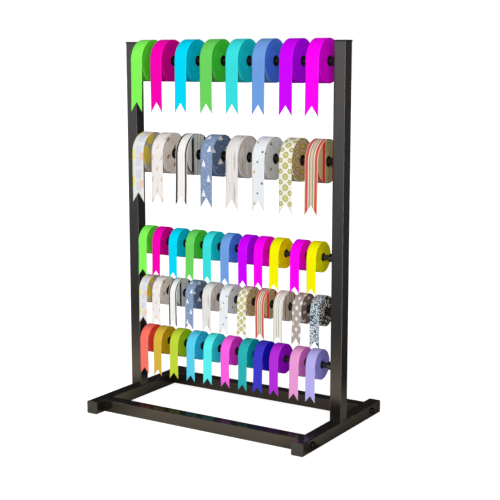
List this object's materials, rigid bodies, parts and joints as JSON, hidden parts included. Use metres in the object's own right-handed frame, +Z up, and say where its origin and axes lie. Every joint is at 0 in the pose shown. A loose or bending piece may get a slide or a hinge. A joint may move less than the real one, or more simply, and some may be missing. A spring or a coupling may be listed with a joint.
{
  "type": "ribbon spool dispenser",
  "caption": "Free-standing counter rack of square steel tube whose horizontal rods hold rolls of ribbon that turn to pay out, one tier above another.",
  "frame": {"origin": "on the floor, in the middle of the base", "axes": "+X along the rods to the right, +Y from the front, where the ribbon ends hang, to the back, +Z up"},
  "size_m": [0.4066, 0.254, 0.5949],
  "materials": {
    "frame_steel": "satin",
    "rod_steel": "satin",
    "black_plastic": "matte",
    "bolt_steel": "satin",
    "spool_core": "matte",
    "loose_ends": "satin",
    "ribbon_aqua": "satin",
    "ribbon_beige_stripes": "satin",
    "ribbon_black_edge": "satin",
    "ribbon_coral": "satin",
    "ribbon_coral_stripes": "satin",
    "ribbon_cyan": "satin",
    "ribbon_denim_triangles": "satin",
    "ribbon_fuchsia": "satin",
    "ribbon_green": "satin",
    "ribbon_grey_streaks": "satin",
    "ribbon_hot_pink": "satin",
    "ribbon_lavender": "satin",
    "ribbon_light_pink": "satin",
    "ribbon_lime": "satin",
    "ribbon_mustard": "satin",
    "ribbon_olive_dots": "satin",
    "ribbon_orchid": "satin",
    "ribbon_pastel_patches": "satin",
    "ribbon_peach_sprigs": "satin",
    "ribbon_periwinkle": "satin",
    "ribbon_purple": "satin",
    "ribbon_royal_blue": "satin",
    "ribbon_sky_blue": "satin",
    "ribbon_slate_mottle": "satin",
    "ribbon_taupe_lattice": "satin",
    "ribbon_teal": "satin",
    "ribbon_tiny_dots": "satin",
    "ribbon_turquoise": "satin",
    "ribbon_violet": "satin",
    "ribbon_yellow": "satin",
    "ribbon_yellow_green": "satin"
  },
  "bodies": {
    "frame": {"uprights": "frame_steel", "side_feet": "frame_steel", "cross_rails": "frame_steel", "end_caps": "black_plastic", "frame_bolts": "bolt_steel", "ribbon_tails": "loose_ends"},
    "tier1_rod": {"tier1_rod": "rod_steel"},
    "tier2_rod": {"tier2_rod": "rod_steel"},
    "tier3_rod": {"tier3_rod": "rod_steel"},
    "tier4_rod": {"tier4_rod": "rod_steel"},
    "tier5_rod": {"tier5_rod": "rod_steel"},
    "tier1_roll01": {"tier1_roll01_lime": "ribbon_lime"},
    "tier1_roll02": {"tier1_roll02_hot_pink": "ribbon_hot_pink"},
    "tier1_roll03": {"tier1_roll03_cyan": "ribbon_cyan"},
    "tier1_roll04": {"tier1_roll04_green": "ribbon_green"},
    "tier1_roll05": {"tier1_roll05_turquoise": "ribbon_turquoise"},
    "tier1_roll06": {"tier1_roll06_periwinkle": "ribbon_periwinkle"},
    "tier1_roll07": {"tier1_roll07_violet": "ribbon_violet"},
    "tier1_roll08": {"tier1_roll08_fuchsia": "ribbon_fuchsia"},
    "tier2_roll01": {"tier2_roll01_pastel_patches": "ribbon_pastel_patches"},
    "tier2_roll02": {"tier2_roll02_peach_sprigs": "ribbon_peach_sprigs"},
    "tier2_roll03": {"tier2_roll03_black_edge": "ribbon_black_edge"},
    "tier2_roll04": {"tier2_roll04_denim_triangles": "ribbon_denim_triangles"},
    "tier2_roll05": {"tier2_roll05_grey_streaks": "ribbon_grey_streaks"},
    "tier2_roll06": {"tier2_roll06_tiny_dots": "ribbon_tiny_dots"},
    "tier2_roll07": {"tier2_roll07_olive_dots": "ribbon_olive_dots"},
    "tier2_roll08": {"tier2_roll08_coral_stripes": "ribbon_coral_stripes"},
    "tier3_roll01": {"tier3_roll01_lime": "ribbon_lime"},
    "tier3_roll02": {"tier3_roll02_hot_pink": "ribbon_hot_pink"},
    "tier3_roll03": {"tier3_roll03_cyan": "ribbon_cyan"},
    "tier3_roll04": {"tier3_roll04_green": "ribbon_green"},
    "tier3_roll05": {"tier3_roll05_turquoise": "ribbon_turquoise"},
    "tier3_roll06": {"tier3_roll06_periwinkle": "ribbon_periwinkle"},
    "tier3_roll07": {"tier3_roll07_violet": "ribbon_violet"},
    "tier3_roll08": {"tier3_roll08_fuchsia": "ribbon_fuchsia"},
    "tier3_roll09": {"tier3_roll09_yellow": "ribbon_yellow"},
    "tier3_roll10": {"tier3_roll10_fuchsia": "ribbon_fuchsia"},
    "tier3_roll11": {"tier3_roll11_yellow": "ribbon_yellow"},
    "tier4_roll01": {"tier4_roll01_pastel_patches": "ribbon_pastel_patches"},
    "tier4_roll02": {"tier4_roll02_peach_sprigs": "ribbon_peach_sprigs"},
    "tier4_roll03": {"tier4_roll03_black_edge": "ribbon_black_edge"},
    "tier4_roll04": {"tier4_roll04_denim_triangles": "ribbon_denim_triangles"},
    "tier4_roll05": {"tier4_roll05_grey_streaks": "ribbon_grey_streaks"},
    "tier4_roll06": {"tier4_roll06_tiny_dots": "ribbon_tiny_dots"},
    "tier4_roll07": {"tier4_roll07_olive_dots": "ribbon_olive_dots"},
    "tier4_roll08": {"tier4_roll08_coral_stripes": "ribbon_coral_stripes"},
    "tier4_roll09": {"tier4_roll09_beige_stripes": "ribbon_beige_stripes"},
    "tier4_roll10": {"tier4_roll10_taupe_lattice": "ribbon_taupe_lattice"},
    "tier4_roll11": {"tier4_roll11_slate_mottle": "ribbon_slate_mottle"},
    "tier5_roll01": {"tier5_roll01_coral": "ribbon_coral"},
    "tier5_roll02": {"tier5_roll02_mustard": "ribbon_mustard"},
    "tier5_roll03": {"tier5_roll03_yellow_green": "ribbon_yellow_green"},
    "tier5_roll04": {"tier5_roll04_sky_blue": "ribbon_sky_blue"},
    "tier5_roll05": {"tier5_roll05_aqua": "ribbon_aqua"},
    "tier5_roll06": {"tier5_roll06_orchid": "ribbon_orchid"},
    "tier5_roll07": {"tier5_roll07_teal": "ribbon_teal"},
    "tier5_roll08": {"tier5_roll08_royal_blue": "ribbon_royal_blue"},
    "tier5_roll09": {"tier5_roll09_purple": "ribbon_purple"},
    "tier5_roll10": {"tier5_roll10_light_pink": "ribbon_light_pink"},
    "tier5_roll11": {"tier5_roll11_lavender": "ribbon_lavender"}
  },
  "joints": [
    {"name": "tier1_rod_slide", "type": "slide", "parent": "frame", "child": "tier1_rod", "axis": [1, 0, 0], "range_m": [-0.015, 0.015]},
    {"name": "tier2_rod_slide", "type": "slide", "parent": "frame", "child": "tier2_rod", "axis": [1, 0, 0], "range_m": [-0.015, 0.015]},
    {"name": "tier3_rod_slide", "type": "slide", "parent": "frame", "child": "tier3_rod", "axis": [1, 0, 0], "range_m": [-0.015, 0.015]},
    {"name": "tier4_rod_slide", "type": "slide", "parent": "frame", "child": "tier4_rod", "axis": [1, 0, 0], "range_m": [-0.015, 0.015]},
    {"name": "tier5_rod_slide", "type": "slide", "parent": "frame", "child": "tier5_rod", "axis": [1, 0, 0], "range_m": [-0.015, 0.015]},
    {"name": "tier1_roll01_spin", "type": "hinge", "parent": "frame", "child": "tier1_roll01", "pos_m": [-0.1613, 0, 0.5614], "axis": [1, 0, 0], "continuous": true},
    {"name": "tier1_roll02_spin", "type": "hinge", "parent": "frame", "child": "tier1_roll02", "pos_m": [-0.12284, 0, 0.5614], "axis": [1, 0, 0], "continuous": true},
    {"name": "tier1_roll03_spin", "type": "hinge", "parent": "frame", "child": "tier1_roll03", "pos_m": [-0.0756, 0, 0.5614], "axis": [1, 0, 0], "continuous": true},
    {"name": "tier1_roll04_spin", "type": "hinge", "parent": "frame", "child": "tier1_roll04", "pos_m": [-0.02836, 0, 0.5614], "axis": [1, 0, 0], "continuous": true},
    {"name": "tier1_roll05_spin", "type": "hinge", "parent": "frame", "child": "tier1_roll05", "pos_m": [0.01888, 0, 0.5614], "axis": [1, 0, 0], "continuous": true},
    {"name": "tier1_roll06_spin", "type": "hinge", "parent": "frame", "child": "tier1_roll06", "pos_m": [0.06612, 0, 0.5614], "axis": [1, 0, 0], "continuous": true},
    {"name": "tier1_roll07_spin", "type": "hinge", "parent": "frame", "child": "tier1_roll07", "pos_m": [0.11336, 0, 0.5614], "axis": [1, 0, 0], "continuous": true},
    {"name": "tier1_roll08_spin", "type": "hinge", "parent": "frame", "child": "tier1_roll08", "pos_m": [0.15761, 0, 0.5614], "axis": [1, 0, 0], "continuous": true},
    {"name": "tier2_roll01_spin", "type": "hinge", "parent": "frame", "child": "tier2_roll01", "pos_m": [-0.1613, 0, 0.4143], "axis": [1, 0, 0], "continuous": true},
    {"name": "tier2_roll02_spin", "type": "hinge", "parent": "frame", "child": "tier2_roll02", "pos_m": [-0.12284, 0, 0.4143], "axis": [1, 0, 0], "continuous": true},
    {"name": "tier2_roll03_spin", "type": "hinge", "parent": "frame", "child": "tier2_roll03", "pos_m": [-0.0756, 0, 0.4143], "axis": [1, 0, 0], "continuous": true},
    {"name": "tier2_roll04_spin", "type": "hinge", "parent": "frame", "child": "tier2_roll04", "pos_m": [-0.02836, 0, 0.4143], "axis": [1, 0, 0], "continuous": true},
    {"name": "tier2_roll05_spin", "type": "hinge", "parent": "frame", "child": "tier2_roll05", "pos_m": [0.01888, 0, 0.4143], "axis": [1, 0, 0], "continuous": true},
    {"name": "tier2_roll06_spin", "type": "hinge", "parent": "frame", "child": "tier2_roll06", "pos_m": [0.06612, 0, 0.4143], "axis": [1, 0, 0], "continuous": true},
    {"name": "tier2_roll07_spin", "type": "hinge", "parent": "frame", "child": "tier2_roll07", "pos_m": [0.11336, 0, 0.4143], "axis": [1, 0, 0], "continuous": true},
    {"name": "tier2_roll08_spin", "type": "hinge", "parent": "frame", "child": "tier2_roll08", "pos_m": [0.15761, 0, 0.4143], "axis": [1, 0, 0], "continuous": true},
    {"name": "tier3_roll01_spin", "type": "hinge", "parent": "frame", "child": "tier3_roll01", "pos_m": [-0.1616, 0, 0.2696], "axis": [1, 0, 0], "continuous": true},
    {"name": "tier3_roll02_spin", "type": "hinge", "parent": "frame", "child": "tier3_roll02", "pos_m": [-0.13421, 0, 0.2696], "axis": [1, 0, 0], "continuous": true},
    {"name": "tier3_roll03_spin", "type": "hinge", "parent": "frame", "child": "tier3_roll03", "pos_m": [-0.10102, 0, 0.2696], "axis": [1, 0, 0], "continuous": true},
    {"name": "tier3_roll04_spin", "type": "hinge", "parent": "frame", "child": "tier3_roll04", "pos_m": [-0.06783, 0, 0.2696], "axis": [1, 0, 0], "continuous": true},
    {"name": "tier3_roll05_spin", "type": "hinge", "parent": "frame", "child": "tier3_roll05", "pos_m": [-0.03464, 0, 0.2696], "axis": [1, 0, 0], "continuous": true},
    {"name": "tier3_roll06_spin", "type": "hinge", "parent": "frame", "child": "tier3_roll06", "pos_m": [-0.00145, 0, 0.2696], "axis": [1, 0, 0], "continuous": true},
    {"name": "tier3_roll07_spin", "type": "hinge", "parent": "frame", "child": "tier3_roll07", "pos_m": [0.03174, 0, 0.2696], "axis": [1, 0, 0], "continuous": true},
    {"name": "tier3_roll08_spin", "type": "hinge", "parent": "frame", "child": "tier3_roll08", "pos_m": [0.06023, 0, 0.2696], "axis": [1, 0, 0], "continuous": true},
    {"name": "tier3_roll09_spin", "type": "hinge", "parent": "frame", "child": "tier3_roll09", "pos_m": [0.08873, 0, 0.2696], "axis": [1, 0, 0], "continuous": true},
    {"name": "tier3_roll10_spin", "type": "hinge", "parent": "frame", "child": "tier3_roll10", "pos_m": [0.12501, 0, 0.2696], "axis": [1, 0, 0], "continuous": true},
    {"name": "tier3_roll11_spin", "type": "hinge", "parent": "frame", "child": "tier3_roll11", "pos_m": [0.15351, 0, 0.2696], "axis": [1, 0, 0], "continuous": true},
    {"name": "tier4_roll01_spin", "type": "hinge", "parent": "frame", "child": "tier4_roll01", "pos_m": [-0.16221, 0, 0.1871], "axis": [1, 0, 0], "continuous": true},
    {"name": "tier4_roll02_spin", "type": "hinge", "parent": "frame", "child": "tier4_roll02", "pos_m": [-0.13543, 0, 0.1871], "axis": [1, 0, 0], "continuous": true},
    {"name": "tier4_roll03_spin", "type": "hinge", "parent": "frame", "child": "tier4_roll03", "pos_m": [-0.10237, 0, 0.1871], "axis": [1, 0, 0], "continuous": true},
    {"name": "tier4_roll04_spin", "type": "hinge", "parent": "frame", "child": "tier4_roll04", "pos_m": [-0.06931, 0, 0.1871], "axis": [1, 0, 0], "continuous": true},
    {"name": "tier4_roll05_spin", "type": "hinge", "parent": "frame", "child": "tier4_roll05", "pos_m": [-0.03625, 0, 0.1871], "axis": [1, 0, 0], "continuous": true},
    {"name": "tier4_roll06_spin", "type": "hinge", "parent": "frame", "child": "tier4_roll06", "pos_m": [-0.00319, 0, 0.1871], "axis": [1, 0, 0], "continuous": true},
    {"name": "tier4_roll07_spin", "type": "hinge", "parent": "frame", "child": "tier4_roll07", "pos_m": [0.02987, 0, 0.1871], "axis": [1, 0, 0], "continuous": true},
    {"name": "tier4_roll08_spin", "type": "hinge", "parent": "frame", "child": "tier4_roll08", "pos_m": [0.06293, 0, 0.1871], "axis": [1, 0, 0], "continuous": true},
    {"name": "tier4_roll09_spin", "type": "hinge", "parent": "frame", "child": "tier4_roll09", "pos_m": [0.09599, 0, 0.1871], "axis": [1, 0, 0], "continuous": true},
    {"name": "tier4_roll10_spin", "type": "hinge", "parent": "frame", "child": "tier4_roll10", "pos_m": [0.12905, 0, 0.1871], "axis": [1, 0, 0], "continuous": true},
    {"name": "tier4_roll11_spin", "type": "hinge", "parent": "frame", "child": "tier4_roll11", "pos_m": [0.16001, 0, 0.1871], "axis": [1, 0, 0], "continuous": true},
    {"name": "tier5_roll01_spin", "type": "hinge", "parent": "frame", "child": "tier5_roll01", "pos_m": [-0.1616, 0, 0.1027], "axis": [1, 0, 0], "continuous": true},
    {"name": "tier5_roll02_spin", "type": "hinge", "parent": "frame", "child": "tier5_roll02", "pos_m": [-0.13421, 0, 0.1027], "axis": [1, 0, 0], "continuous": true},
    {"name": "tier5_roll03_spin", "type": "hinge", "parent": "frame", "child": "tier5_roll03", "pos_m": [-0.10102, 0, 0.1027], "axis": [1, 0, 0], "continuous": true},
    {"name": "tier5_roll04_spin", "type": "hinge", "parent": "frame", "child": "tier5_roll04", "pos_m": [-0.06783, 0, 0.1027], "axis": [1, 0, 0], "continuous": true},
    {"name": "tier5_roll05_spin", "type": "hinge", "parent": "frame", "child": "tier5_roll05", "pos_m": [-0.03464, 0, 0.1027], "axis": [1, 0, 0], "continuous": true},
    {"name": "tier5_roll06_spin", "type": "hinge", "parent": "frame", "child": "tier5_roll06", "pos_m": [-0.00145, 0, 0.1027], "axis": [1, 0, 0], "continuous": true},
    {"name": "tier5_roll07_spin", "type": "hinge", "parent": "frame", "child": "tier5_roll07", "pos_m": [0.03174, 0, 0.1027], "axis": [1, 0, 0], "continuous": true},
    {"name": "tier5_roll08_spin", "type": "hinge", "parent": "frame", "child": "tier5_roll08", "pos_m": [0.06023, 0, 0.1027], "axis": [1, 0, 0], "continuous": true},
    {"name": "tier5_roll09_spin", "type": "hinge", "parent": "frame", "child": "tier5_roll09", "pos_m": [0.08873, 0, 0.1027], "axis": [1, 0, 0], "continuous": true},
    {"name": "tier5_roll10_spin", "type": "hinge", "parent": "frame", "child": "tier5_roll10", "pos_m": [0.12501, 0, 0.1027], "axis": [1, 0, 0], "continuous": true},
    {"name": "tier5_roll11_spin", "type": "hinge", "parent": "frame", "child": "tier5_roll11", "pos_m": [0.15351, 0, 0.1027], "axis": [1, 0, 0], "continuous": true}
  ]
}
